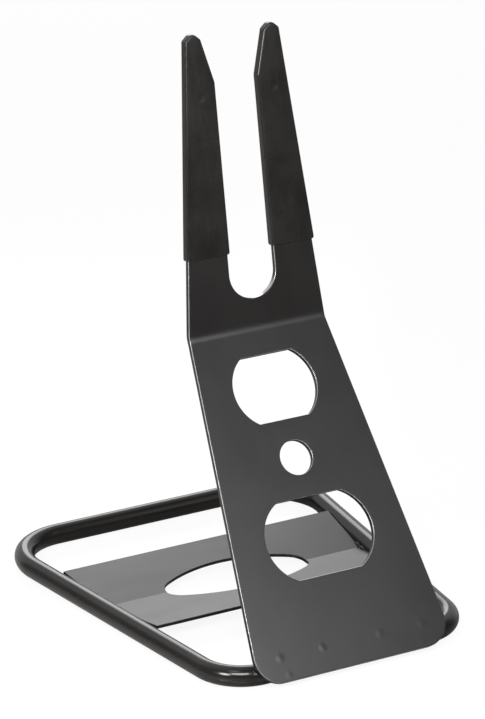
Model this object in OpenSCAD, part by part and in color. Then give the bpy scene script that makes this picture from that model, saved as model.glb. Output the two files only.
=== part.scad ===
// Floor stand for the rear hub of a bicycle.
// A closed loop of round tube lies on the floor. A bent plate stands on its front run and ends in
// two prongs with soft sleeves, which take the hub axle between them. A creased plate ties the
// sides of the loop together. +Z is up, the front is at -Y, and the origin lies on the floor in the
// middle of the footprint.

/* [Base loop] */
// Outside diameter of the tube
tube_d = 16; // [14:0.5:19]
// Wall thickness of the tube
tube_wall = 1.5; // [1:0.1:2.5]
// Distance between the side runs at the front, on the centre line of the tube
loop_front_w = 201; // [185:1:225]
// Distance between the side runs at the back, on the centre line of the tube
loop_back_w = 269; // [245:1:300]
// Distance from the front run to the back run, centre to centre
loop_depth = 300; // [270:1:340]
// Bend radius of the two front corners, on the centre line
front_bend_r = 34; // [28:1:46]
// Bend radius of the two back corners, on the centre line
back_bend_r = 46; // [34:1:52]

/* [Upright plate] */
// Thickness of the bent plate
plate_t = 4.5; // [3:0.5:6]
// Height of the fold above the floor, on the front face
fold_h = 220.8; // [205:0.2:240]
// Lean of the lower panel from the vertical, in degrees
panel_lean = 34.4; // [30:0.2:38]
// Lean of the fork from the vertical, in degrees
fork_lean = 10; // [6:0.5:14]
// Inside radius of the fold
fold_r = 6; // [4:0.5:10]
// Width of the plate at the fold
fold_w = 115.6; // [108:0.2:124]
// Width of the panel at its foot, before its corners are rounded
foot_w = 166.4; // [150:0.2:180]
// Radius of the two corners at the foot
foot_r = 20; // [12:1:26]
// Gap between the floor and the lowest edge of the panel
toe_gap = 3; // [1:0.5:5]

/* [Panel windows] */
// Distance from the fold down to the middle of the upper window
upper_window_s = 46.5; // [44:0.1:50]
// Width of the upper window
upper_window_w = 69.2; // [60:0.2:76]
// Height of the upper window, along the panel
upper_window_h = 50.8; // [44:0.2:56]
// Radius of the round sides of the upper window
upper_window_r = 30.5; // [29:0.5:34]
// Distance from the fold down to the middle of the round hole
round_hole_s = 101.6; // [97:0.2:106]
// Diameter of the round hole
round_hole_d = 26.5; // [20:0.5:30]
// Distance from the fold down to the middle of the lower window
lower_window_s = 161.4; // [156:0.2:164]
// Width of the lower window
lower_window_w = 90; // [80:1:98]
// Height of the lower window, along the panel
lower_window_h = 59.2; // [52:0.2:64]
// Radius of the round sides of the lower window
lower_window_r = 33; // [32:0.5:38]

/* [Fork] */
// Length of the prongs, from the fold to their tips
prong_l = 222.4; // [205:0.2:245]
// Width across both prongs at their tips
tips_w = 75; // [70:0.2:80]
// Width of the slot for the hub axle
slot_w = 39; // [34:0.5:44]
// Distance from the fold up to the centre of the slot's round bottom
slot_s = 41.6; // [36:0.2:50]
// Distance from the fold up to the point where the slot starts to widen
knee_s = 186; // [170:1:195]
// Softening radius where the slot starts to widen
knee_r = 6; // [3:0.5:10]
// Gap between the prongs at their tips
mouth_w = 56; // [52:0.5:60]
// Height of the pointed end of a prong
tip_h = 4.2; // [3:0.2:6]
// Radius of the point of a prong
tip_r = 2.4; // [1:0.2:3]
// Radius of the two shoulders below the point
shoulder_r = 1.2; // [0.6:0.2:2]
// Diameter of the hanging hole in each prong
hang_hole_d = 7; // [5:0.5:9]
// Distance from the fold up to the hanging holes
hang_hole_s = 176.6; // [150:0.2:180]

/* [Sleeves] */
// Wall thickness of the soft sleeves
sleeve_wall = 1.5; // [0.8:0.1:2]
// Distance from the fold up to the open end of the sleeves
sleeve_s = 58; // [50:1:75]
// Depth of the dimple that the sleeve makes over a hanging hole
dimple_depth = 0.4; // [0.2:0.1:0.6]

/* [Cross plate] */
// Thickness of the cross plate
cross_t = 2.6; // [2:0.2:4]
// Width of each half of the cross plate, from the crease to its edge
cross_half_w = 61.5; // [50:0.5:70]
// Slope of each half, in degrees
cross_slope = 6.2; // [4:0.2:9]
// Inside radius of the crease
crease_r = 6; // [3:0.5:9]
// Distance from the front run of the loop back to the crease
cross_from_front = 161; // [145:1:170]
// Height of the tube's middle above the top of the crease
cross_drop = 0.9; // [0:0.1:2]
// Length of the oval hole
oval_l = 122; // [100:1:140]
// Width of the oval hole
oval_w = 54; // [44:1:64]
// Radius of the two ends of the oval hole
oval_end_r = 15; // [12:0.5:17]

/* [Welds] */
// Length of a weld bead under the panel
panel_bead_l = 13; // [8:0.5:18]
// Radius of a weld bead under the panel
panel_bead_r = 2.6; // [2:0.1:3.2]
// Distance from the middle of the panel to the middle of its outer beads
panel_bead_x = 60.5; // [54:0.5:63]
// Distance between neighbouring beads on one half of the panel
panel_bead_pitch = 36; // [30:1:42]
// Length of a weld bead at the end of the crease
cross_bead_l = 8; // [6:0.5:11]
// Radius of a weld bead at the end of the crease
cross_bead_r = 2.4; // [1.8:0.1:3]
// Width of the butt weld that closes the loop
seam_w = 4; // [3:0.2:6]
// Height of the butt weld above the tube
seam_proud = 0.5; // [0.3:0.1:0.8]

/* [Hidden] */
$fn = 64;
// Extra reach of a cutting shape past the face that it cuts
cut = 1;
// Reach of a blank that another shape trims to length
blank = 400;
// Bending draws the tube this much thinner, so a corner's ends reach into the straight runs
bend_thinning = 0.04;
// Reach of a corner into each straight run, in degrees
lap_turn = 0.8;
// Length of full width that is left on each side of the bend itself
fold_slack = 0.5;
// Place of a bead in its groove, as a share of the tube's radius, and its depth, as a share of its own
groove_reach = 0.75;
bead_sink = 0.5;

steel_black = [0.2, 0.2, 0.2];
plate_black = [0.25, 0.25, 0.25];
sleeve_black = [0.13, 0.13, 0.13];
bead_black = [0.28, 0.28, 0.28];

tube_r = tube_d / 2;

// Upright plate, in the side view
panel_l = (fold_h - toe_gap - plate_t * sin(panel_lean)) / cos(panel_lean);
// The back face of the panel rests on the front run, so the fold lies this far behind it
fold_from_front = ((fold_h - tube_r) * sin(panel_lean) - plate_t - tube_r) / cos(panel_lean);
toe_from_front = fold_from_front - panel_l * sin(panel_lean);

// The footprint reaches from the toe or the front run to the back run
front_y = -(loop_depth + tube_r + min(toe_from_front, -tube_r)) / 2;
back_y = front_y + loop_depth;
fold_y = front_y + fold_from_front;

// Base loop, in the plan view
side_angle = atan((loop_back_w - loop_front_w) / 2 / loop_depth);
front_turn = 90 - side_angle;
back_turn = 90 + side_angle;
front_tangent = front_bend_r * tan(front_turn / 2);
back_tangent = back_bend_r * tan(back_turn / 2);
side_run = loop_depth / cos(side_angle) - front_tangent - back_tangent;
front_run_half = loop_front_w / 2 - front_tangent;
back_run_half = loop_back_w / 2 - back_tangent;

// The plate keeps its full width this far to each side of the fold
fold_land = plate_t * sin(panel_lean - fork_lean) + fold_slack;

// Fork, with s measured up from the fold
fork_taper = atan((fold_w - tips_w) / 2 / (prong_l - fold_land));
hang_hole_x = (slot_w / 2 + outer_x(hang_hole_s)) / 2;

// Cross plate
crease_y = front_y + cross_from_front;
crease_z = tube_r - cross_drop;
oval_side_r = (pow(oval_l / 2, 2) + pow(oval_w / 2, 2) - oval_l * oval_end_r) / (oval_w - 2 * oval_end_r);
oval_end_x = oval_l / 2 - oval_end_r;

// Half width of the fork at the distance s above the fold
function outer_x(s) = fold_w / 2 - (s - fold_land) * tan(fork_taper);

// Half width between the inner faces of the side runs at the place y
function inner_half(y) = loop_front_w / 2 + (y - front_y) * tan(side_angle) - tube_r / cos(side_angle);

function unit(v) = v / norm(v);

// Unit vector at the given angle
function way(angle) = [cos(angle), sin(angle)];

// Outward normal of the edge from a to b of an outline that runs counter-clockwise
function outward(a, b) = let (d = unit(b - a)) [d.y, -d.x];

// Centre of the circle of radius r that rounds the corner b
function round_centre(a, b, c, r) =
    let (n1 = outward(a, b), n2 = outward(b, c))
    b - r * (n1 + n2) / (1 + n1 * n2);

// Convex outline with a radius at each corner, grown outward by an even amount
module rounded_outline(points, radii, grow = 0) {
    count = len(points);
    function before(i) = points[(i + count - 1) % count];
    function after(i) = points[(i + 1) % count];
    function centre(i) = round_centre(before(i), points[i], after(i), radii[i]);
    polygon([for (i = [0 : count - 1])
        let (r = radii[i] + grow)
        each r == 0 ? [points[i]] : [
            centre(i) + r * outward(before(i), points[i]),
            centre(i) + r * outward(points[i], after(i))]]);
    for (i = [0 : count - 1])
        if (radii[i] + grow > 0)
            translate(centre(i))
                circle(radii[i] + grow);
}

// Keeps the child and adds its mirror image across the middle of the stand
module both_sides() {
    children();
    mirror([1, 0, 0])
        children();
}

// Everything on the inner side of a corner, out to the length of its legs, in the side view
module inner_side(corner, first_way, second_way, leg_l, behind, ahead, r) {
    first_end = leg_l * way(first_way);
    second_end = leg_l * way(second_way);
    first_normal = way(first_way + 90);
    second_normal = way(second_way - 90);
    rounded_outline([
        corner,
        first_end - behind * first_normal,
        first_end + ahead * first_normal,
        second_end + ahead * second_normal,
        second_end - behind * second_normal],
        [r, 0, 0, 0, 0]);
}

// Sheet with one bend along X. Its inner face has its corner at the origin, and its two legs run
// off at the angles first_way and second_way, counter-clockwise in the plane of Y and Z.
module bent_sheet(first_way, second_way, leg_l, thickness, inside_r, width) {
    normals = way(first_way + 90) + way(second_way - 90);
    back_corner = -thickness * 2 * normals / (normals * normals);
    ahead = 2 * (inside_r + thickness);
    rotate([90, 0, 90])
        linear_extrude(width, center = true)
            difference() {
                inner_side(back_corner, first_way, second_way, leg_l, thickness, ahead, inside_r + thickness);
                inner_side([0, 0], first_way, second_way, leg_l + cut, 0, ahead + 2 * cut, inside_r);
            }
}

// Frames whose X and Y lie in the front face, Y up from the fold and Z out of the face
module in_panel() {
    translate([0, fold_y, fold_h])
        rotate([90 - panel_lean, 0, 0])
            children();
}

module in_fork() {
    translate([0, fold_y, fold_h])
        rotate([90 - fork_lean, 0, 0])
            children();
}

// Rod along X with round ends
module bead(length, radius) {
    rotate([0, 90, 0]) {
        cylinder(h = length - 2 * radius, r = radius, center = true);
        for (end = [-1, 1])
            translate([0, 0, end * (length / 2 - radius)])
                sphere(radius);
    }
}

module straight_rod(length, r) {
    rotate([-90, 0, 0])
        cylinder(h = length, r = r);
}

module corner_rod(bend_r, turn, r) {
    rotate(-lap_turn)
        rotate_extrude(angle = turn + 2 * lap_turn)
            translate([bend_r, 0])
                circle(r - bend_thinning);
}

// Solid rod of radius r along the right half of the loop, one stretch after another
module half_loop_rod(r) {
    intersection() {
        union() {
            translate([-cut, front_y, tube_r])
                rotate([0, 90, 0])
                    cylinder(h = front_run_half + cut, r = r);
            translate([front_run_half, front_y + front_bend_r, tube_r])
                rotate(-90) {
                    corner_rod(front_bend_r, front_turn, r);
                    rotate(front_turn)
                        translate([front_bend_r, 0]) {
                            straight_rod(side_run, r);
                            translate([-back_bend_r, side_run]) {
                                corner_rod(back_bend_r, back_turn, r);
                                rotate(back_turn)
                                    translate([back_bend_r, 0])
                                        straight_rod(back_run_half + cut, r);
                            }
                        }
                }
        }
        translate([0, -blank, 0])
            cube(2 * blank);
    }
}

module loop_rod(r) {
    both_sides()
        half_loop_rod(r);
}

module base_tube() {
    color(steel_black)
        difference() {
            loop_rod(tube_r);
            loop_rod(tube_r - tube_wall);
        }
}

// Outline of the panel below the fold, without its windows and carried over the bend
module panel_outline() {
    rounded_outline([
        [-foot_w / 2, -panel_l],
        [foot_w / 2, -panel_l],
        [fold_w / 2, -fold_land],
        [fold_w / 2, fold_land],
        [-fold_w / 2, fold_land],
        [-fold_w / 2, -fold_land]],
        [foot_r, foot_r, 0, 0, 0, 0]);
}

// Window with round sides and flat top and bottom
module window_outline(width, height, side_r) {
    side_x = width / 2 - side_r;
    intersection() {
        union() {
            both_sides()
                translate([side_x, 0])
                    circle(side_r);
            square([2 * side_x, 2 * side_r], center = true);
        }
        square([width + cut, height], center = true);
    }
}

// Outline of the right prong above the height from_s, grown outward for the sleeve
module prong_outline(from_s, grow = 0) {
    shoulder_s = prong_l - tip_h;
    point_x = (mouth_w / 2 + outer_x(shoulder_s)) / 2;
    intersection() {
        rounded_outline([
            [slot_w / 2, 0],
            [outer_x(0), 0],
            [outer_x(shoulder_s), shoulder_s],
            [point_x, prong_l],
            [mouth_w / 2, shoulder_s],
            [slot_w / 2, knee_s]],
            [0, 0, shoulder_r, tip_r, shoulder_r, knee_r], grow);
        translate([0, from_s])
            square([fold_w, prong_l]);
    }
}

// Outline of the fork above the fold, carried over the bend
module fork_outline() {
    difference() {
        polygon([
            [-fold_w / 2, fold_land],
            [-fold_w / 2, -fold_land],
            [fold_w / 2, -fold_land],
            [fold_w / 2, fold_land],
            [outer_x(slot_s), slot_s],
            [-outer_x(slot_s), slot_s]]);
        translate([0, slot_s])
            circle(slot_w / 2);
    }
    both_sides()
        prong_outline(slot_s);
}

// Flat blank of the panel, as thick as the plate
module panel_blank() {
    in_panel()
        translate([0, 0, -plate_t])
            linear_extrude(plate_t)
                panel_outline();
}

// Straight through the plate and a little past both faces
module through_plate() {
    translate([0, 0, -plate_t - cut])
        linear_extrude(plate_t + 2 * cut)
            children();
}

module upright_plate() {
    leg_l = max(panel_l, prong_l) + cut;
    color(plate_black)
        difference() {
            intersection() {
                translate([0, fold_y, fold_h])
                    bent_sheet(90 - fork_lean, 270 - panel_lean, leg_l, plate_t, fold_r, foot_w + cut);
                union() {
                    in_panel()
                        through_plate()
                            panel_outline();
                    in_fork()
                        through_plate()
                            fork_outline();
                }
            }
            in_panel()
                through_plate() {
                    translate([0, -upper_window_s])
                        window_outline(upper_window_w, upper_window_h, upper_window_r);
                    translate([0, -lower_window_s])
                        window_outline(lower_window_w, lower_window_h, lower_window_r);
                }
            in_panel()
                translate([0, -round_hole_s, -plate_t - cut])
                    cylinder(h = plate_t + 2 * cut, d = round_hole_d);
            both_sides()
                in_fork()
                    translate([hang_hole_x, hang_hole_s, -plate_t - cut])
                        cylinder(h = plate_t + 2 * cut, d = hang_hole_d);
        }
}

// Soft sleeve over the right prong, closed over the tip
module sleeve() {
    // Sphere that leaves a dimple as wide as the hanging hole
    dimple_r = (pow(hang_hole_d / 2, 2) + pow(dimple_depth, 2)) / (2 * dimple_depth);
    color(sleeve_black)
        in_fork()
            difference() {
                translate([0, 0, -plate_t - sleeve_wall])
                    linear_extrude(plate_t + 2 * sleeve_wall)
                        prong_outline(sleeve_s, sleeve_wall);
                translate([0, 0, -plate_t])
                    linear_extrude(plate_t)
                        prong_outline(sleeve_s - cut);
                translate([hang_hole_x, hang_hole_s, sleeve_wall - dimple_depth + dimple_r])
                    sphere(dimple_r);
            }
}

module sleeve_left() {
    mirror([1, 0, 0])
        sleeve();
}

module sleeve_right() {
    sleeve();
}

// Oval of two wide arcs and two end arcs that meet without a corner
module oval_outline() {
    arc_end_x = oval_end_x * oval_side_r / (oval_side_r - oval_end_r);
    side_centre_y = oval_side_r - oval_w / 2;
    intersection() {
        translate([0, -side_centre_y])
            circle(oval_side_r, $fn = 128);
        translate([0, side_centre_y])
            circle(oval_side_r, $fn = 128);
        square([2 * arc_end_x, oval_w], center = true);
    }
    both_sides()
        translate([oval_end_x, 0])
            circle(oval_end_r);
}

// Plan of the cross plate, whose ends follow the inner faces of the side runs
module cross_plan() {
    low_y = crease_y - cross_half_w - cross_t;
    high_y = crease_y + cross_half_w + cross_t;
    polygon([
        [-inner_half(low_y), low_y],
        [inner_half(low_y), low_y],
        [inner_half(high_y), high_y],
        [-inner_half(high_y), high_y]]);
}

// Creased sheet before its ends are trimmed
module cross_blank() {
    translate([0, crease_y, crease_z])
        bent_sheet(cross_slope, 180 - cross_slope, cross_half_w, cross_t, crease_r, blank);
}

module cross_plate() {
    color(plate_black)
        difference() {
            intersection() {
                cross_blank();
                linear_extrude(blank)
                    cross_plan();
            }
            translate([0, crease_y, 0])
                linear_extrude(blank)
                    oval_outline();
        }
}

// Short beads in the grooves between the front run and the back face of the panel
module upright_weld_beads() {
    touch_s = -(fold_from_front * sin(panel_lean) + (fold_h - tube_r) * cos(panel_lean));
    groove = groove_reach * tube_r;
    sink = bead_sink * panel_bead_r;
    color(bead_black)
        both_sides()
            difference() {
                in_panel()
                    translate([0, touch_s, -plate_t - sink]) {
                        for (x = [panel_bead_x, panel_bead_x - panel_bead_pitch])
                            translate([x, groove])
                                bead(panel_bead_l, panel_bead_r);
                        translate([panel_bead_x, -groove])
                            bead(panel_bead_l, panel_bead_r);
                    }
                half_loop_rod(tube_r);
                panel_blank();
            }
}

// Beads on both sides of the crease, where the cross plate meets the side runs
module cross_plate_weld_beads() {
    reach = cross_bead_l / 2;
    color(bead_black)
        both_sides()
            difference() {
                for (y = [crease_y - reach, crease_y + reach])
                    translate([inner_half(y), y, crease_z])
                        rotate(90 - side_angle)
                            bead(cross_bead_l, cross_bead_r);
                half_loop_rod(tube_r);
                cross_blank();
            }
}

// Butt weld round the front run, dressed flush at the floor and against the panel
module tube_seam_weld() {
    color(bead_black)
        difference() {
            translate([0, front_y, tube_r])
                rotate([0, 90, 0])
                    difference() {
                        cylinder(h = seam_w, r = tube_r + seam_proud, center = true);
                        cylinder(h = seam_w + cut, r = tube_r, center = true);
                    }
            panel_blank();
            translate([-seam_w, front_y - tube_d, -tube_d])
                cube([2 * seam_w, 2 * tube_d, tube_d]);
        }
}

base_tube();
upright_plate();
cross_plate();
sleeve_left();
sleeve_right();
upright_weld_beads();
cross_plate_weld_beads();
tube_seam_weld();
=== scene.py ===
import math

import bmesh
import bpy
from mathutils import Matrix, Vector


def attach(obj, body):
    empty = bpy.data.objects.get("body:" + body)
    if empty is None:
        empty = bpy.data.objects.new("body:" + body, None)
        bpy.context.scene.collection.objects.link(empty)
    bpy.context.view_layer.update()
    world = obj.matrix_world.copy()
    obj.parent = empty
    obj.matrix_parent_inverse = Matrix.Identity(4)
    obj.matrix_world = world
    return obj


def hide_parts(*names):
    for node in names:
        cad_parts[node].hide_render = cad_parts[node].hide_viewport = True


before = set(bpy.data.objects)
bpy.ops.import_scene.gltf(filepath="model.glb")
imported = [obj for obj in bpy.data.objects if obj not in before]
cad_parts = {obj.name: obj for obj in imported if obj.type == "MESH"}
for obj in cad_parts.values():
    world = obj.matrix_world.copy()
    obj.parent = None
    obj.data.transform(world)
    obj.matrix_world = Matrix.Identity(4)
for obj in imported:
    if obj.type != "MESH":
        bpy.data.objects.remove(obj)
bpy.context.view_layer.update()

# lengths in the dictionaries are in millimetres and angles in degrees, unless a note says metres
mm = 0.001
sameSpot = 1e-7    # metres: vertices nearer than this are one
sweptSpot = 1e-6   # metres: the same on a swept piece
mirrorSpot = 1e-5  # metres: the same for a vertex and its mirror image
onCut = 1e-8       # metres: a vertex nearer to a cut than this lies on it

# places that several pieces share, the same as in the CAD
stand = {
    "foldY": -15.026,
    "foldHeight": 220.8,
    "panelLean": 34.4,
    "forkLean": 10.0,
    "plateThickness": 4.5,
    "frontRunY": -145.584,
    "tubeRadius": 8.0,
}


# pen moves: a vertex is drawn along lines and arcs, in metres

def penLine(bm, vert, end):
    step = Vector(end) - vert.co
    if step.length < sameSpot:
        return vert
    made = bmesh.ops.extrude_vert_indiv(bm, verts=[vert])
    bmesh.ops.translate(bm, verts=made["verts"], vec=step)
    return made["verts"][0]


def penArc(bm, vert, centre, angle, steps):
    made = bmesh.ops.spin(bm, geom=[vert], cent=centre, axis=(0, 0, 1), dvec=(0, 0, 0),
                          angle=angle, steps=steps, use_merge=False, use_duplicate=False)
    return [e for e in made["geom_last"] if isinstance(e, bmesh.types.BMVert)][0]


def arcSteps(radius, angle, grain=1.0, fewest=4):
    # one step for each grain of length, and the same number in every ring of an edge
    return max(fewest, math.ceil(abs(angle) * radius / grain))


def closePen(bm, first, last, before):
    if (first.co - last.co).length > sameSpot:
        bm.edges.new((last, first))
    fresh = [v for v in bm.verts if v not in before]
    bmesh.ops.remove_doubles(bm, verts=fresh, dist=sameSpot)
    return [e for e in bm.edges if e.verts[0] not in before]


# outlines: each returns a draw(bm, grow), where grow moves every edge away from the metal

def outline(corners):
    # corners are (x, y, radius), counter-clockwise
    def draw(bm, grow):
        before = set(bm.verts)
        count = len(corners)
        sharp = [Vector((x, y, 0)) for x, y, _ in corners]
        ways = [(sharp[(i + 1) % count] - sharp[i]).normalized() for i in range(count)]
        outward = [Vector((way.y, -way.x, 0)) for way in ways]
        rounds = []
        for i in range(count):
            ahead, behind = ways[i], ways[i - 1]
            turn = math.atan2(behind.cross(ahead).z, behind.dot(ahead))
            sign = math.copysign(1, turn)
            normals = outward[i - 1] + outward[i]
            corner = sharp[i] + normals * grow / (1 + outward[i - 1].dot(outward[i]))
            radius = corners[i][2] + sign * grow if corners[i][2] > 0 else 0
            start = corner - behind * radius * math.tan(abs(turn) / 2)
            centre = start + Vector((-behind.y, behind.x, 0)) * sign * radius
            rounds.append((start * mm, centre * mm, turn, arcSteps(corners[i][2], turn), radius))
        first = vert = bm.verts.new(rounds[0][0])
        for start, centre, turn, steps, radius in rounds:
            vert = penLine(bm, vert, start)
            if radius > 0:
                vert = penArc(bm, vert, centre, turn, steps)
        return closePen(bm, first, vert, before)
    return draw


def window(width, height, sideRadius, centreY):
    # round sides, flat top and bottom; a hole gets smaller as grow gets larger
    def draw(bm, grow):
        before = set(bm.verts)
        sideX = (width / 2 - sideRadius) * mm
        radius = (sideRadius - grow) * mm
        rise = (height / 2 - grow) * mm
        half = math.asin(rise / radius)
        steps = arcSteps(sideRadius, 2 * half)
        centre = Vector((0, centreY * mm, 0))
        corner = Vector((radius * math.cos(half) + sideX, -rise, 0))
        first = bm.verts.new(centre + corner)
        vert = penArc(bm, first, centre + Vector((sideX, 0, 0)), 2 * half, steps)
        vert = penLine(bm, vert, centre - Vector((corner.x, corner.y, 0)))
        vert = penArc(bm, vert, centre - Vector((sideX, 0, 0)), 2 * half, steps)
        return closePen(bm, first, vert, before)
    return draw


def roundHole(diameter, centreX, centreY):
    def draw(bm, grow):
        before = set(bm.verts)
        centre = Vector((centreX, centreY, 0)) * mm
        first = bm.verts.new(centre + Vector(((diameter / 2 - grow) * mm, 0, 0)))
        last = penArc(bm, first, centre, 2 * math.pi, arcSteps(diameter / 2, 2 * math.pi))
        return closePen(bm, first, last, before)
    return draw


def ovalHole(length, width, endRadius):
    # two wide arcs and two end arcs that meet without a corner
    def draw(bm, grow):
        before = set(bm.verts)
        a, b, r = length / 2 - grow, width / 2 - grow, endRadius - grow
        sideRadius = (a * a + b * b - 2 * a * r) / (2 * (b - r))
        endX, sideY = a - r, sideRadius - b
        meet = math.atan2(sideY, endX)
        endTurn, sideTurn = 2 * meet, math.pi - 2 * meet
        endSteps = arcSteps(endRadius, endTurn)
        sideSteps = arcSteps(sideRadius, sideTurn, grain=1.4)
        start = Vector((endX + r * math.cos(meet), -r * math.sin(meet), 0))
        first = vert = bm.verts.new(start * mm)
        for x, y, angle, steps in ((endX, 0, endTurn, endSteps), (0, -sideY, sideTurn, sideSteps),
                                   (-endX, 0, endTurn, endSteps), (0, sideY, sideTurn, sideSteps)):
            vert = penArc(bm, vert, Vector((x, y, 0)) * mm, angle, steps)
        return closePen(bm, first, vert, before)
    return draw


# sheets

def ringAt(bm, draw, grow, height):
    edges = draw(bm, grow)
    verts = list({v for e in edges for v in e.verts})
    bmesh.ops.translate(bm, verts=verts, vec=(0, 0, height * mm))
    return edges


def bridgeRings(bm, rings):
    for high, low in zip(rings, rings[1:]):
        bmesh.ops.bridge_loops(bm, edges=high + low)


def fillFlat(bm, edges):
    bmesh.ops.triangle_fill(bm, use_beauty=True, use_dissolve=False, edges=edges)


def slab(bm, outlines, thickness, edgeRound, steps=3, dishes=()):
    # each outline becomes a wall whose two rims roll over, and the faces are filled between them.
    # z is 0 at the front face; a dish is (draw, [(grow, depth)]) and sinks into both faces
    levels = []
    for k in range(steps + 1):
        turn = math.pi / 2 * (1 - k / steps)
        levels.append((-edgeRound * (1 - math.cos(turn)), -edgeRound * (1 - math.sin(turn))))
    levels += [(grow, -thickness - depth) for grow, depth in reversed(levels)]
    front, back = [], []
    for draw in outlines:
        rings = [ringAt(bm, draw, grow, height) for grow, height in levels]
        bridgeRings(bm, rings)
        front += rings[0]
        back += rings[-1]
    for draw, profile in dishes:
        for face, base, sign in ((front, 0, -1), (back, -thickness, 1)):
            rings = [ringAt(bm, draw, grow, base + sign * depth) for grow, depth in profile]
            bridgeRings(bm, rings)
            fillFlat(bm, rings[-1])
            face += rings[0]
    fillFlat(bm, front)
    fillFlat(bm, back)
    bmesh.ops.remove_doubles(bm, verts=bm.verts, dist=sameSpot)
    bmesh.ops.recalc_face_normals(bm, faces=bm.faces)


def cutAcross(bm, lowY, highY, count):
    # cross cuts that let a flat sheet follow a bend
    for i in range(count + 1):
        y = (lowY + (highY - lowY) * i / count) * mm
        bmesh.ops.bisect_plane(bm, geom=bm.verts[:] + bm.edges[:] + bm.faces[:], dist=onCut,
                               plane_co=(0, y, 0), plane_no=(0, 1, 0))


def bendSheet(bm, radius, angle):
    # bends the part of a flat sheet beyond y = 0 towards +Z, round an inside radius
    reach = radius * math.tan(angle / 2)
    for vert in bm.verts:
        x, y, z = vert.co
        if y <= -reach:
            continue
        turn = min((y + reach) / (2 * reach), 1) * angle
        rest = max(y - reach, 0)
        vert.co.y = -reach + (radius - z) * math.sin(turn) + rest * math.cos(turn)
        vert.co.z = radius - (radius - z) * math.cos(turn) + rest * math.sin(turn)


def leanFrame(lean):
    # from a flat sheet, with the fold at y = 0, to a leg of the plate that leans back this much
    place = Matrix.Translation((0, stand["foldY"] * mm, stand["foldHeight"] * mm))
    return place @ Matrix.Rotation(math.radians(90 - lean), 4, "X")


def finishPiece(bm, name, material, replaced, flatFaces=True):
    bmesh.ops.recalc_face_normals(bm, faces=bm.faces)
    mesh = bpy.data.meshes.new(name)
    bm.to_mesh(mesh)
    bm.free()
    mesh.polygons.foreach_set("use_smooth", [True] * len(mesh.polygons))
    mesh.materials.append(material)
    piece = bpy.data.objects.new(name, mesh)
    bpy.context.scene.collection.objects.link(piece)
    if flatFaces:
        # the large faces shade flat, and only the rolled edges shade round
        weighted = piece.modifiers.new("flatFaces", "WEIGHTED_NORMAL")
        weighted.mode = "FACE_AREA"
        weighted.weight = 100
    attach(piece, "root")
    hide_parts(*replaced)


# nodes

def addNode(tree, kind, place, **inputs):
    node = tree.nodes.new(kind)
    node.location = place
    for key, value in inputs.items():
        node.inputs[key].default_value = value
    return node


def feed(tree, socket, value):
    # a socket takes another node's output or a constant
    if isinstance(value, bpy.types.NodeSocket):
        tree.links.new(value, socket)
    else:
        socket.default_value = value


def noiseOf(tree, coords, scale, detail, place, stretch=None, rough=0.55):
    if stretch:
        mapping = addNode(tree, "ShaderNodeMapping", (place[0] - 200, place[1]), Scale=stretch)
        tree.links.new(coords, mapping.inputs["Vector"])
        coords = mapping.outputs["Vector"]
    noise = addNode(tree, "ShaderNodeTexNoise", place, Scale=scale, Detail=detail, Roughness=rough)
    tree.links.new(coords, noise.inputs["Vector"])
    return noise.outputs["Fac"]


def rangeOf(tree, value, span, toLow, toHigh, place):
    # a soft step from toLow to toHigh while the value crosses the span
    node = addNode(tree, "ShaderNodeMapRange", place)
    node.interpolation_type = "SMOOTHSTEP"
    for key, number in (("From Min", span[0]), ("From Max", span[1]),
                        ("To Min", toLow), ("To Max", toHigh)):
        node.inputs[key].default_value = number
    tree.links.new(value, node.inputs["Value"])
    return node.outputs["Result"]


def mathOf(tree, operation, first, second, place):
    node = addNode(tree, "ShaderNodeMath", place)
    node.operation = operation
    feed(tree, node.inputs[0], first)
    feed(tree, node.inputs[1], second)
    return node.outputs["Value"]


def mixColour(tree, factor, first, second, place):
    node = addNode(tree, "ShaderNodeMix", place)
    node.data_type = "RGBA"
    feed(tree, node.inputs["Factor"], factor)
    # the node has an A and a B for each kind of value
    colours = [s for s in node.inputs if s.type == "RGBA"]
    feed(tree, colours[0], first)
    feed(tree, colours[1], second)
    return [s for s in node.outputs if s.type == "RGBA"][0]


def mixValue(tree, factor, first, second, place):
    node = addNode(tree, "ShaderNodeMix", place)
    feed(tree, node.inputs["Factor"], factor)
    feed(tree, node.inputs["A"], first)
    feed(tree, node.inputs["B"], second)
    return node.outputs["Result"]


def bumpFrom(tree, height, strength, distance, place, normal=None):
    bump = addNode(tree, "ShaderNodeBump", place, Strength=strength, Distance=distance)
    tree.links.new(height, bump.inputs["Height"])
    if normal is not None:
        tree.links.new(normal, bump.inputs["Normal"])
    return bump.outputs["Normal"]


# the satin coat: a scale counts a noise's waves in a metre

# the spans over which a pattern or an edge comes in, the same for every coat
coatSpan = {
    "clouds": (0.3, 0.7),
    "cloudGloss": 0.01,      # how far the clouds shift the roughness
    "rubs": (0.35, 0.7),
    "speckEdge": 0.05,
    "wear": (0.3, 0.6),
    "leastWear": 0.6,
    # how squarely a surface looks the way that its sheet faces
    "leavingFace": (0.86, 0.7),
    "reachingWall": (0.12, 0.3),
    # how far up it looks: rims that look at the floor keep the dark coat, a painted shade for the
    # shadow under the plate
    "shadeUnderEdges": (-0.7, -0.45),
}

# the black powder coat on the metal, of which each piece changes what differs
powderCoat = {
    "darkTone": (0.0115, 0.0105, 0.0098, 1),
    "lightTone": (0.0145, 0.0133, 0.0125, 1),
    "dustTone": (0.06, 0.057, 0.052, 1),
    "cloudScale": 22,
    "peelScale": 900,
    "peelStrength": 0.12,
    "peelDepth": 0.05,
    "rubScale": 60,
    "rubStretch": (1, 1, 1),
    "roughLow": 0.17,
    "roughHigh": 0.2,
    "dustScale": 420,
    "dustFrom": 0.76,
    "dustAmount": 0.3,
    "specular": 0.5,
}


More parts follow.
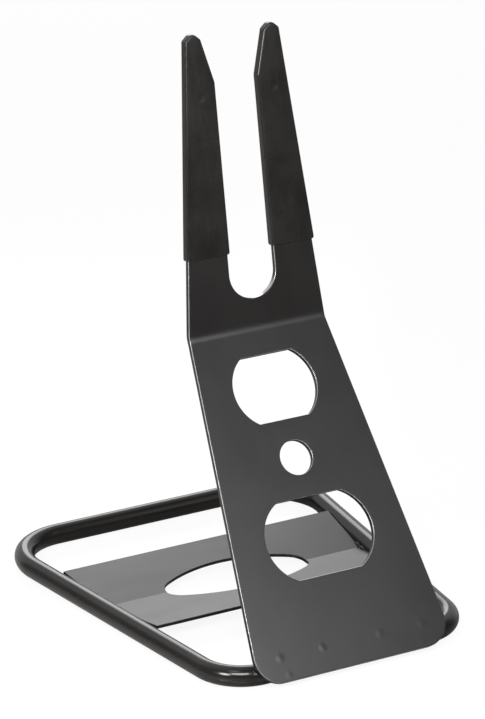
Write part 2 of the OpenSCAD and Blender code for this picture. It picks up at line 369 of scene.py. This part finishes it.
def nearMarks(tree, coords, marks, place):
    # each mark's height at its middle, and 0 from its edge on
    left, row = place
    total = None
    for point, radius, height in marks:
        gap = addNode(tree, "ShaderNodeVectorMath", (left, row))
        gap.operation = "DISTANCE"
        gap.inputs[1].default_value = point
        tree.links.new(coords, gap.inputs[0])
        dome = rangeOf(tree, gap.outputs["Value"], (0, radius * mm), height, 0, (left + 200, row))
        if total is None:
            total = dome
        else:
            total = mathOf(tree, "ADD", total, dome, (left + 400, row))
        row -= 200
    return total


def rimOf(tree, normal, facing, place):
    # 1 on the rolled edges, 0 on the faces, on the walls and where an edge looks at the floor; the
    # dark coat kept there is painted shade for the shadow under the plate
    left, top = place
    turn = addNode(tree, "ShaderNodeVectorMath", place)
    turn.operation = "DOT_PRODUCT"
    turn.inputs[1].default_value = facing
    tree.links.new(normal, turn.inputs[0])
    square = turn.outputs["Value"]
    leaving = rangeOf(tree, square, coatSpan["leavingFace"], 0, 1, (left + 200, top))
    arriving = rangeOf(tree, square, coatSpan["reachingWall"], 0, 1, (left + 200, top - 200))
    rim = mathOf(tree, "MULTIPLY", leaving, arriving, (left + 400, top))
    way = addNode(tree, "ShaderNodeSeparateXYZ", (left, top - 400))
    tree.links.new(normal, way.inputs[0])
    # edges that look down stay dark: painted shade
    above = rangeOf(tree, way.outputs["Z"], coatSpan["shadeUnderEdges"], 0, 1, (left + 200, top - 400))
    return mathOf(tree, "MULTIPLY", rim, above, (left + 600, top))


def satinCoat(name, finish, marks=(), rim=None, facing=None):
    material = bpy.data.materials.new(name)
    material.use_nodes = True
    tree = material.node_tree
    shader = tree.nodes["Principled BSDF"]
    texture = addNode(tree, "ShaderNodeTexCoord", (-1400, 0))
    coords = texture.outputs["Object"]
    # slow clouds in the coat, a fine orange peel, faint rubs and a little dust
    clouds = noiseOf(tree, coords, finish["cloudScale"], 3, (-900, 300))
    peel = noiseOf(tree, coords, finish["peelScale"], 2, (-900, -300))
    rubs = noiseOf(tree, coords, finish["rubScale"], 5, (-900, 0), finish["rubStretch"])
    dust = noiseOf(tree, coords, finish["dustScale"], 1, (-900, 600))
    cloudy = rangeOf(tree, clouds, coatSpan["clouds"], 0, 1, (-650, 300))
    tone = mixColour(tree, cloudy, finish["darkTone"], finish["lightTone"], (-400, 300))
    dusty = (finish["dustFrom"], finish["dustFrom"] + coatSpan["speckEdge"])
    specks = rangeOf(tree, dust, dusty, 0, finish["dustAmount"], (-650, 600))
    tone = mixColour(tree, specks, tone, finish["dustTone"], (-200, 300))
    shift = coatSpan["cloudGloss"]
    rough = rangeOf(tree, rubs, coatSpan["rubs"], finish["roughLow"], finish["roughHigh"],
                    (-650, 0))
    shifted = rangeOf(tree, clouds, coatSpan["clouds"], -shift, shift, (-650, 100))
    rough = mathOf(tree, "ADD", rough, shifted, (-400, 0))
    if rim:
        # the rolled edges have a gloss of their own, and on the plate the coat is worn thin there;
        # the plate's light rim tone is partly worn coat and partly a painted highlight along the
        # edges
        edge = rimOf(tree, texture.outputs["Normal"], facing, (-900, 1300))
        wear = rangeOf(tree, rubs, coatSpan["wear"], coatSpan["leastWear"], 1, (-650, 800))
        edge = mathOf(tree, "MULTIPLY", edge, wear, (-300, 900))
        tone = mixColour(tree, edge, tone, rim["tone"], (-50, 500))
        rough = mixValue(tree, edge, rough, rim["rough"], (-50, 100))
        metal = mathOf(tree, "MULTIPLY", edge, rim["metal"], (-50, 900))
        tree.links.new(metal, shader.inputs["Metallic"])
    tree.links.new(tone, shader.inputs["Base Color"])
    tree.links.new(rough, shader.inputs["Roughness"])
    normal = bumpFrom(tree, peel, finish["peelStrength"], finish["peelDepth"] * mm, (-400, -300))
    if marks:
        height = nearMarks(tree, coords, marks, (-900, -700))
        normal = bumpFrom(tree, height, 1, mm, (-200, -500), normal)
    tree.links.new(normal, shader.inputs["Normal"])
    shader.inputs["Specular IOR Level"].default_value = finish["specular"]
    return material


# tube loop

tubeLoop = {
    "frontWidth": 201.0,
    "backWidth": 269.0,
    "depth": 300.0,
    "frontBend": 34.0,
    "backBend": 46.0,
    "radius": 7.93,    # just under the CAD's tubeRadius
    "ringSteps": 48,
    "bendSteps": 36,
    "sideSteps": 12,
    "endSteps": 6,
    "finish": powderCoat,
}


def sideSlant():
    # how far each side run leans outwards towards the back
    return math.atan((tubeLoop["backWidth"] - tubeLoop["frontWidth"]) / 2 / tubeLoop["depth"])


def makeTubeLoop(size, material):
    bm = bmesh.new()
    radius = size["radius"] * mm
    frontY = stand["frontRunY"] * mm
    slant = sideSlant()
    frontTurn, backTurn = math.pi / 2 - slant, math.pi / 2 + slant
    frontBend, backBend = size["frontBend"] * mm, size["backBend"] * mm
    frontReach, backReach = frontBend * math.tan(frontTurn / 2), backBend * math.tan(backTurn / 2)
    frontHalf = size["frontWidth"] / 2 * mm - frontReach
    backHalf = size["backWidth"] / 2 * mm - backReach
    sideRun = size["depth"] * mm / math.cos(slant) - frontReach - backReach
    sideWay = Vector((math.sin(slant), math.cos(slant), 0))

    def sweep(geom, cent=(0, 0, 0), angle=0.0, dvec=(0, 0, 0), steps=1):
        # the operator's dvec is the way moved in each step
        made = bmesh.ops.spin(bm, geom=geom, cent=cent, axis=(0, 0, 1), dvec=Vector(dvec) / steps,
                              angle=angle, steps=steps, use_merge=False, use_duplicate=False)
        return made["geom_last"]

    ring = bmesh.ops.create_circle(bm, segments=size["ringSteps"], radius=radius)["verts"]
    bmesh.ops.rotate(bm, verts=ring, cent=(0, 0, 0), matrix=Matrix.Rotation(math.pi / 2, 3, "Y"))
    bmesh.ops.translate(bm, verts=ring, vec=(0, frontY, radius))
    geom = bm.verts[:] + bm.edges[:]
    geom = sweep(geom, dvec=(frontHalf, 0, 0), steps=size["endSteps"])
    geom = sweep(geom, (frontHalf, frontY + frontBend, 0), frontTurn, steps=size["bendSteps"])
    geom = sweep(geom, dvec=sideWay * sideRun, steps=size["sideSteps"])
    backY = frontY + size["depth"] * mm
    geom = sweep(geom, (backHalf, backY - backBend, 0), backTurn, steps=size["bendSteps"])
    sweep(geom, dvec=(-backHalf, 0, 0), steps=size["endSteps"])
    bmesh.ops.mirror(bm, geom=bm.verts[:] + bm.edges[:] + bm.faces[:], merge_dist=mirrorSpot,
                     axis="X")
    bmesh.ops.remove_doubles(bm, verts=bm.verts, dist=sweptSpot)
    finishPiece(bm, "tubeLoop", material, ["base_tube"], flatFaces=False)


tubeCoat = satinCoat("tubeCoat", tubeLoop["finish"])
makeTubeLoop(tubeLoop, tubeCoat)
print("tube loop made")


# upright plate, drawn flat with the fold at y = 0

plate = {
    "foldWidth": 115.6,
    "foldLand": 2.36,
    "foldRadius": 17.0,    # softer than in the CAD, for a wide highlight
    "foldCuts": 12,
    "footWidth": 166.4,
    "footY": -260.88,
    "footRadius": 20.0,
    "tipY": 222.4,
    "tipsWidth": 75.0,
    "mouthWidth": 56.0,
    "tipHeight": 4.2,
    "tipRadius": 2.4,
    "shoulderRadius": 1.2,
    "slotWidth": 39.0,
    "slotY": 41.6,
    "kneeY": 186.0,
    "kneeRadius": 6.0,
    # width, height, side radius, middle
    "upperWindow": (69.2, 50.8, 30.5, -46.5),
    "lowerWindow": (90.0, 59.2, 33.0, -161.4),
    "roundHole": (26.5, 0.0, -101.6),
    "edgeRound": 0.75,
    # marks that the welds behind the panel leave on its face: x, y, radius, height
    "weldMarks": [(-60.5, -242.5, 4.6, 0.13), (-24.5, -242.5, 4.2, 0.12),
                  (-57.0, -256.0, 3.8, 0.08), (24.5, -242.5, 4.6, 0.1),
                  (60.5, -242.5, 5.0, 0.07), (57.0, -256.0, 3.8, 0.04)],
    "finish": dict(powderCoat, darkTone=(0.0105, 0.0097, 0.0094, 1),
                   lightTone=(0.0135, 0.0125, 0.0122, 1), rubScale=40,
                   rubStretch=(1.6, 0.35, 0.35), roughLow=0.3, roughHigh=0.33),
    # the rims' light tone is partly worn coat and partly a painted highlight along the edges
    "rim": {"tone": (0.62, 0.61, 0.6, 1), "metal": 0.85, "rough": 0.3},
}


def forkEdge(size, y):
    # half the fork's width, which narrows from the fold to the tips
    slope = (size["foldWidth"] - size["tipsWidth"]) / 2 / (size["tipY"] - size["foldLand"])
    return size["foldWidth"] / 2 - (y - size["foldLand"]) * slope


def prongCorners(size):
    # from the outer shoulder over the tip and down to the knee, on the right prong
    shoulderY = size["tipY"] - size["tipHeight"]
    outerX, innerX = forkEdge(size, shoulderY), size["mouthWidth"] / 2
    return [(outerX, shoulderY, size["shoulderRadius"]),
            ((outerX + innerX) / 2, size["tipY"], size["tipRadius"]),
            (innerX, shoulderY, size["shoulderRadius"]),
            (size["slotWidth"] / 2, size["kneeY"], size["kneeRadius"])]


def makeUprightPlate(size, material):
    bm = bmesh.new()
    slotHalf = size["slotWidth"] / 2
    half = [(size["footWidth"] / 2, size["footY"], size["footRadius"]),
            (size["foldWidth"] / 2, -size["foldLand"], 0),
            (size["foldWidth"] / 2, size["foldLand"], 0)]
    half += prongCorners(size)
    half.append((slotHalf, size["slotY"] - slotHalf, slotHalf))
    whole = half + [(-x, y, r) for x, y, r in reversed(half)]
    slab(bm, [outline(whole), window(*size["upperWindow"]), window(*size["lowerWindow"]),
              roundHole(*size["roundHole"])], stand["plateThickness"], size["edgeRound"])
    bend = math.radians(stand["panelLean"] - stand["forkLean"])
    reach = size["foldRadius"] * math.tan(bend / 2)
    cutAcross(bm, -reach, reach, size["foldCuts"])
    bendSheet(bm, size["foldRadius"] * mm, bend)
    bmesh.ops.transform(bm, verts=bm.verts, matrix=panelFrame)
    finishPiece(bm, "uprightPlate", material, ["upright_plate"])


def facingOf(frameMatrix):
    # the way that a leg's front face looks
    return frameMatrix.to_3x3() @ Vector((0, 0, 1))


panelFrame = leanFrame(stand["panelLean"])
forkFrame = leanFrame(stand["forkLean"])
plateMarks = [(panelFrame @ Vector((x * mm, y * mm, 0)), radius, height)
              for x, y, radius, height in plate["weldMarks"]]
plateCoat = satinCoat("plateCoat", plate["finish"], plateMarks, plate["rim"], facingOf(panelFrame))
makeUprightPlate(plate, plateCoat)
print("upright plate made")


# soft sleeves on the prongs

sleeve = {
    "wall": 1.5,
    "fromY": 58.0,
    "mouthRound": 0.3,
    "edgeRound": 1.3,
    "edgeSteps": 5,
    # the dimple over the hanging hole, as steps of distance inwards from its edge and depth
    "dimpleY": 176.6,
    "dimpleWidth": 8.6,
    "dimple": [(0.0, 0.0), (0.6, 0.02), (1.3, 0.08), (2.0, 0.15), (2.7, 0.2), (3.4, 0.22)],
    "finish": {
        "darkTone": (0.0095, 0.0088, 0.0081, 1),
        "lightTone": (0.0165, 0.015, 0.0138, 1),
        "dustTone": (0.04, 0.038, 0.035, 1),
        "cloudScale": 30,
        "peelScale": 500,
        "peelStrength": 0.2,
        "peelDepth": 0.06,
        "rubScale": 50,
        "rubStretch": (1.4, 1, 0.25),
        "roughLow": 0.24,
        "roughHigh": 0.31,
        "dustScale": 380,
        "dustFrom": 0.77,
        "dustAmount": 0.3,
        "specular": 0.5,
    },
    "rim": {"tone": (0.0165, 0.015, 0.0138, 1), "metal": 0, "rough": 0.12},
}


def makeSleeve(name, side, size, prong, material, node):
    # side is 1 on the right and -1 on the left
    bm = bmesh.new()
    wall = size["wall"]
    # the prong's own outline, whose rings are drawn larger by the wall
    slotHalf, mouthY = prong["slotWidth"] / 2, size["fromY"] + wall
    corners = [(slotHalf, mouthY, size["mouthRound"]),
               (forkEdge(prong, mouthY), mouthY, size["mouthRound"])] + prongCorners(prong)
    inner = outline(corners)
    dimpleX = (slotHalf + forkEdge(prong, size["dimpleY"])) / 2
    dimple = roundHole(size["dimpleWidth"], dimpleX, size["dimpleY"])
    slab(bm, [lambda bm, grow: inner(bm, grow + wall)], stand["plateThickness"] + 2 * wall,
         size["edgeRound"], steps=size["edgeSteps"], dishes=[(dimple, size["dimple"])])
    bmesh.ops.translate(bm, verts=bm.verts, vec=(0, 0, wall * mm))
    if side < 0:
        bmesh.ops.scale(bm, verts=bm.verts, vec=(-1, 1, 1))
    bmesh.ops.transform(bm, verts=bm.verts, matrix=forkFrame)
    finishPiece(bm, name, material, [node])


sleeveVinyl = satinCoat("sleeveVinyl", sleeve["finish"], (), sleeve["rim"], facingOf(forkFrame))
makeSleeve("sleeveRight", 1, sleeve, plate, sleeveVinyl, "sleeve_right")
makeSleeve("sleeveLeft", -1, sleeve, plate, sleeveVinyl, "sleeve_left")
print("sleeves made")


# cross plate

crossPlate = {
    "creaseY": 15.416,
    "creaseZ": 7.1,
    "thickness": 2.6,
    "halfWidth": 61.5,
    "slope": 6.2,
    "creaseRadius": 6.0,
    "creaseCuts": 8,
    "ovalLength": 122.0,
    "ovalWidth": 54.0,
    "ovalEndRadius": 15.0,
    "edgeRound": 0.35,
    "finish": dict(plate["finish"], rubStretch=(0.35, 1.6, 1.6), roughLow=0.31, roughHigh=0.34),
}


def sideInner(y):
    # the x of a side run's inner face
    slant = sideSlant()
    return (tubeLoop["frontWidth"] / 2 + (y - stand["frontRunY"]) * math.tan(slant)
            - stand["tubeRadius"] / math.cos(slant))


def makeCrossPlate(size, material):
    bm = bmesh.new()
    reach = size["halfWidth"]
    lowX = sideInner(size["creaseY"] - reach)
    highX = sideInner(size["creaseY"] + reach)
    plan = [(-lowX, -reach, 0), (lowX, -reach, 0), (highX, reach, 0), (-highX, reach, 0)]
    oval = ovalHole(size["ovalLength"], size["ovalWidth"], size["ovalEndRadius"])
    slab(bm, [outline(plan), oval], size["thickness"], size["edgeRound"])
    bend = math.radians(2 * size["slope"])
    flat = size["creaseRadius"] * math.tan(bend / 2)
    cutAcross(bm, -flat, flat, size["creaseCuts"])
    bendSheet(bm, size["creaseRadius"] * mm, bend)
    turn = Matrix.Rotation(math.radians(-size["slope"]), 4, "X")
    place = Matrix.Translation((0, size["creaseY"] * mm, size["creaseZ"] * mm))
    bmesh.ops.transform(bm, verts=bm.verts, matrix=place @ turn)
    finishPiece(bm, "crossPlate", material, ["cross_plate"])


crossCoat = satinCoat("crossCoat", crossPlate["finish"])
makeCrossPlate(crossPlate, crossCoat)
print("cross plate made")


# welds

# the ripples that all the beads share
weldBead = {
    "squash": 0.62,        # a ripple's length as a share of its width
    "endTaper": 0.18,
    "wobble": 0.05,
    "wobbleStep": 2.3,
    "waver": 0.1,
    "waverStep": 1.7,
    "segments": 18,
    "rows": 10,
    "finish": dict(powderCoat, roughLow=0.22, roughHigh=0.34, peelStrength=0.5, peelScale=600),
}
panelBeads = {
    "length": 13.0,
    "radius": 2.5,
    "ripples": 8,
    "outerX": 60.5,
    "pitch": 36.0,
    "seatY": -249.35,      # where the panel touches the front run, on the flat sheet
    "groove": 6.0,         # from there to a bead, above or below the tube
    "sink": 1.3,
}
crossBeads = {
    "length": 8.0,
    "radius": 2.3,
    "ripples": 6,
}
tubeSeam = {
    "width": 4.0,
    "proud": 0.45,
    "floorGap": 0.02,
    "ringSteps": 16,
    "turnSteps": 72,
}


def rippledBead(bm, start, end, size):
    # overlapping scales, each a squashed ball, as a hand-laid weld shows
    way = end - start
    turn = way.to_track_quat("X", "Z").to_matrix().to_4x4()
    for i in range(size["ripples"]):
        share = i / (size["ripples"] - 1)
        swell = (1 - weldBead["endTaper"] * (2 * share - 1) ** 2
                 + weldBead["wobble"] * math.sin(i * weldBead["wobbleStep"]))
        rise = weldBead["waver"] * mm * math.sin(i * weldBead["waverStep"])
        place = Matrix.Translation(start + way * share + Vector((0, 0, rise)))
        squash = Matrix.Diagonal((weldBead["squash"], swell, swell, 1))
        bmesh.ops.create_uvsphere(bm, u_segments=weldBead["segments"], v_segments=weldBead["rows"],
                                  radius=size["radius"] * mm, matrix=place @ turn @ squash)


def beadReach(size):
    # from a bead's middle to the middle of its last ripple
    return size["length"] / 2 - size["radius"] * weldBead["squash"]


def makePanelBeads(size, material):
    bm = bmesh.new()
    reach = beadReach(size)
    depth = -(stand["plateThickness"] + size["sink"])
    outer, seat, groove = size["outerX"], size["seatY"], size["groove"]
    for x, y in ((outer, seat + groove), (outer - size["pitch"], seat + groove),
                 (outer, seat - groove)):
        for side in (1, -1):
            start, end = [panelFrame @ (Vector((side * (x + e * reach), y, depth)) * mm)
                          for e in (-1, 1)]
            rippledBead(bm, start, end, size)
    finishPiece(bm, "panelBeads", material, ["upright_weld_beads"], flatFaces=False)


def makeCrossBeads(size, material):
    bm = bmesh.new()
    reach = beadReach(size)
    for part in (-1, 1):
        middle = crossPlate["creaseY"] + part * size["length"] / 2
        for side in (1, -1):
            start, end = [Vector((side * sideInner(y), y, crossPlate["creaseZ"])) * mm
                          for y in (middle - reach, middle + reach)]
            rippledBead(bm, start, end, size)
    finishPiece(bm, "crossBeads", material, ["cross_plate_weld_beads"],
                flatFaces=False)


def makeSeam(size, material):
    bm = bmesh.new()
    radius = stand["tubeRadius"] * mm
    halfWidth = size["width"] / 2
    ring = bmesh.ops.create_circle(bm, segments=size["ringSteps"], radius=halfWidth * mm)["verts"]
    bmesh.ops.scale(bm, verts=ring, vec=(1, size["proud"] / halfWidth, 1))
    bmesh.ops.translate(bm, verts=ring, vec=(0, radius, 0))
    bmesh.ops.spin(bm, geom=bm.verts[:] + bm.edges[:], cent=(0, 0, 0), axis=(1, 0, 0),
                   dvec=(0, 0, 0), angle=2 * math.pi, steps=size["turnSteps"],
                   use_merge=True, use_duplicate=False)
    bmesh.ops.remove_doubles(bm, verts=bm.verts, dist=sweptSpot)
    bmesh.ops.translate(bm, verts=bm.verts, vec=(0, stand["frontRunY"] * mm, radius))
    # dressed flush where the stand rests on the floor
    for vert in bm.verts:
        vert.co.z = max(vert.co.z, size["floorGap"] * mm)
    finishPiece(bm, "tubeSeam", material, ["tube_seam_weld"], flatFaces=False)


weldCoat = satinCoat("weldCoat", weldBead["finish"])
makePanelBeads(panelBeads, weldCoat)
makeCrossBeads(crossBeads, weldCoat)
makeSeam(tubeSeam, weldCoat)
print("welds made")


# floor, light and camera

studio = {
    "floorReach": 12,          # metres
    "floorDrop": 0.2,
    "seenTone": (0.9, 0.9, 0.9, 1),
    # what the gloss and the light see of the floor, from leftSpan's first x to its second; the
    # lighter tone left of the stand is painted light on the floor
    "floorTone": (0.22, 0.215, 0.21, 1),
    "litLeftTone": (0.68, 0.665, 0.65, 1),
    "leftSpan": (-140, -70),
    "floorRough": 0.16,
    "floorSpecular": 0.5,
    "floorGlow": 0.88,         # the plain white share of the seen floor; the rest keeps shadows
    "glowStrength": 1.03,
    "worldLevel": 0.22,
    # what the gloss shows: the room is dim in front of the stand and white behind it, with a dim
    # side on the left. A span is of the direction's y or x
    "frontGloss": 0.07,
    "backGloss": 0.74,
    "backSpan": (-0.2, 0.5),
    "leftGloss": 0.3,
    "sideSpan": (-0.62, -0.4),
    # name: power, then in metres width, height, place and aim
    "lamps": {
        "keyLamp": (13.8, 0.75, 0.45, (-0.60, -1.0, 1.08), (-0.08, -0.15, 0.01)),
        "panelLamp": (9.8, 0.72, 0.34, (0.31, -1.53, 1.01), (-0.08, -0.15, 0.01)),
        "fillLamp": (1.1, 1.0, 1.0, (0.746, -1.09, 1.11), (0, -0.08, 0.12)),
        "backLamp": (9.0, 0.9, 1.0, (0.855, 2.01, 1.1), (0, 0, 0.05)),
        "topLamp": (1.5, 0.4, 0.4, (-0.55, -0.4, 1.9), (0, 0, 0.1)),
        "tipLamp": (9.0, 0.35, 0.35, (-1.03, -0.57, 0.70), (0.03, 0, 0.42)),
    },
}


def whitePaper(values):
    paper = bpy.data.materials.new("whitePaper")
    paper.use_nodes = True
    tree = paper.node_tree
    shader = tree.nodes["Principled BSDF"]
    texture = addNode(tree, "ShaderNodeTexCoord", (-1200, 0))
    spot = addNode(tree, "ShaderNodeSeparateXYZ", (-1000, 0))
    tree.links.new(texture.outputs["Object"], spot.inputs[0])
    leftSpan = [x * mm for x in values["leftSpan"]]
    # a lighter floor left of the stand, seen only by gloss and light: painted light
    outside = rangeOf(tree, spot.outputs["X"], leftSpan, 1, 0, (-800, 0))
    tone = mixColour(tree, outside, values["floorTone"], values["litLeftTone"], (-400, 0))
    paths = addNode(tree, "ShaderNodeLightPath", (-600, 300))
    cameraRay = paths.outputs["Is Camera Ray"]
    tone = mixColour(tree, cameraRay, tone, values["seenTone"], (-200, 0))
    tree.links.new(tone, shader.inputs["Base Color"])
    shader.inputs["Roughness"].default_value = values["floorRough"]
    shader.inputs["Specular IOR Level"].default_value = values["floorSpecular"]
    glow = addNode(tree, "ShaderNodeEmission", (0, -300), Strength=values["glowStrength"])
    blend = addNode(tree, "ShaderNodeMixShader", (300, 0))
    seen = mathOf(tree, "MULTIPLY", cameraRay, values["floorGlow"], (0, 300))
    tree.links.new(seen, blend.inputs["Fac"])
    tree.links.new(shader.outputs["BSDF"], blend.inputs[1])
    tree.links.new(glow.outputs["Emission"], blend.inputs[2])
    tree.links.new(blend.outputs["Shader"], tree.nodes["Material Output"].inputs["Surface"])
    return paper


def makeFloor(values):
    bm = bmesh.new()
    bmesh.ops.create_grid(bm, x_segments=2, y_segments=2, size=values["floorReach"])
    mesh = bpy.data.meshes.new("floor")
    bm.to_mesh(mesh)
    bm.free()
    mesh.materials.append(whitePaper(values))
    floor = bpy.data.objects.new("floor", mesh)
    floor.location = (0, 0, -values["floorDrop"] * mm)
    bpy.context.scene.collection.objects.link(floor)


def makeWorld(values):
    world = bpy.data.worlds.new("studio")
    world.use_nodes = True
    tree = world.node_tree
    back = tree.nodes["Background"]
    back.inputs["Color"].default_value = (1, 1, 1, 1)
    paths = addNode(tree, "ShaderNodeLightPath", (-800, 0))
    coords = addNode(tree, "ShaderNodeTexCoord", (-1200, -300))
    way = addNode(tree, "ShaderNodeSeparateXYZ", (-1000, -300))
    tree.links.new(coords.outputs["Generated"], way.inputs[0])
    gloss = rangeOf(tree, way.outputs["Y"], values["backSpan"],
                    values["frontGloss"], values["backGloss"], (-800, -300))
    side = rangeOf(tree, way.outputs["X"], values["sideSpan"], values["leftGloss"], 1, (-800, -500))
    gloss = mathOf(tree, "MULTIPLY", gloss, side, (-600, -300))
    shiny = mathOf(tree, "MAXIMUM", paths.outputs["Is Glossy Ray"],
                   paths.outputs["Is Transmission Ray"], (-600, 0))
    level = mixValue(tree, shiny, values["worldLevel"], gloss, (-400, 0))
    level = mixValue(tree, paths.outputs["Is Camera Ray"], level, 1.0, (-200, 0))
    tree.links.new(level, back.inputs["Strength"])
    bpy.context.scene.world = world


def makeLamps(lamps):
    for name, (power, width, height, place, aim) in lamps.items():
        lamp = bpy.data.lights.new(name, "AREA")
        lamp.shape = "RECTANGLE"
        lamp.energy = power
        lamp.size, lamp.size_y = width, height
        holder = bpy.data.objects.new(name, lamp)
        holder.location = place
        holder.rotation_euler = (Vector(aim) - Vector(place)).to_track_quat("-Z", "Y").to_euler()
        bpy.context.scene.collection.objects.link(holder)


makeFloor(studio)
makeWorld(studio)
makeLamps(studio["lamps"])
print("floor and light made")

view = {
    "place": (-1.4384, -2.4852, 1.2984),    # metres
    "turn": (68.89, 0, -29.99),
    "lens": 206.6,
    "sensor": 36,
}
lens = bpy.data.cameras.new("camera")
lens.lens = view["lens"]
lens.sensor_width = view["sensor"]
camera = bpy.data.objects.new("camera", lens)
camera.location = view["place"]
camera.rotation_euler = [math.radians(a) for a in view["turn"]]
bpy.context.scene.collection.objects.link(camera)
bpy.context.scene.camera = camera
bpy.context.scene.view_settings.view_transform = "Standard"
print("camera set")
